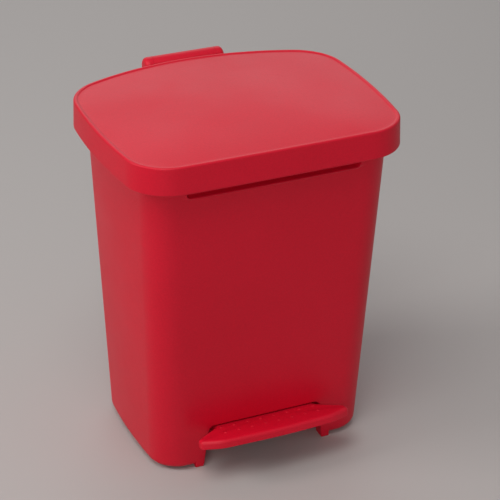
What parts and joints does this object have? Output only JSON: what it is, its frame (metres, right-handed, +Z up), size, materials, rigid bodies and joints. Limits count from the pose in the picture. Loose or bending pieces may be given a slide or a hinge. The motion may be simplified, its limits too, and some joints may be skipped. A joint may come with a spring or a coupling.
{
  "type": "pedal bin",
  "caption": "Tapered plastic bin with a deep-skirted hinged lid that a wide front pedal lifts through a lever and a vertical rod at the back.",
  "frame": {"origin": "on the floor, in the middle of the footprint box", "axes": "+Z up; the front, with the pedal and the finger recess, faces -Y; +X is to the right of someone facing the front"},
  "size_m": [0.4226, 0.3818, 0.5238],
  "materials": {
    "red_plastic": "moulded polypropylene, fine satin grain",
    "black_nylon": "moulded nylon, satin",
    "zinc_steel": "zinc plated, dull"
  },
  "bodies": {
    "body": {"body_shell": "red_plastic", "hinge_housing": "red_plastic", "rod_cover": "red_plastic", "rod_guide_lower": "black_nylon", "rod_guide_upper": "black_nylon", "axle_bearing_left": "black_nylon", "axle_bearing_right": "black_nylon", "housing_screw_1": "zinc_steel", "housing_screw_2": "zinc_steel", "housing_screw_3": "zinc_steel", "housing_screw_4": "zinc_steel", "cover_screw_1": "zinc_steel", "cover_screw_2": "zinc_steel", "cover_screw_3": "zinc_steel", "cover_screw_4": "zinc_steel"},
    "lid": {"lid_shell": "red_plastic", "hinge_pin_left": "zinc_steel", "hinge_pin_right": "zinc_steel", "lift_lug": "black_nylon", "lug_screw_1": "zinc_steel", "lug_screw_2": "zinc_steel"},
    "rod": {"lift_rod": "zinc_steel", "rod_head": "black_nylon", "head_pin": "zinc_steel", "rod_foot": "black_nylon", "foot_pin": "zinc_steel"},
    "pedal": {"pedal_tread": "red_plastic", "pedal_lever": "black_nylon", "lever_screw_1": "zinc_steel", "lever_screw_2": "zinc_steel", "pedal_axle": "zinc_steel", "axle_ring_left": "zinc_steel", "axle_ring_right": "zinc_steel"}
  },
  "joints": [
    {"name": "lid_hinge", "type": "hinge", "parent": "body", "child": "lid", "pos_m": [0, 0.17643, 0.508], "axis": [-1, 0, 0], "range_deg": [0, 75]},
    {"name": "rod_slide", "type": "slide", "parent": "body", "child": "rod", "axis": [0, 0, 1], "range_m": [0, 0.0316]},
    {"name": "pedal_pivot", "type": "hinge", "parent": "body", "child": "pedal", "pos_m": [0, 0.00543, 0.033], "axis": [1, 0, 0], "range_deg": [0, 12.2]}
  ],
  "couplings": [
    {"joint": "rod_slide", "follows": "lid_hinge", "m_per_rad": 0.02403},
    {"joint": "pedal_pivot", "follows": "lid_hinge", "ratio": 0.16067}
  ]
}
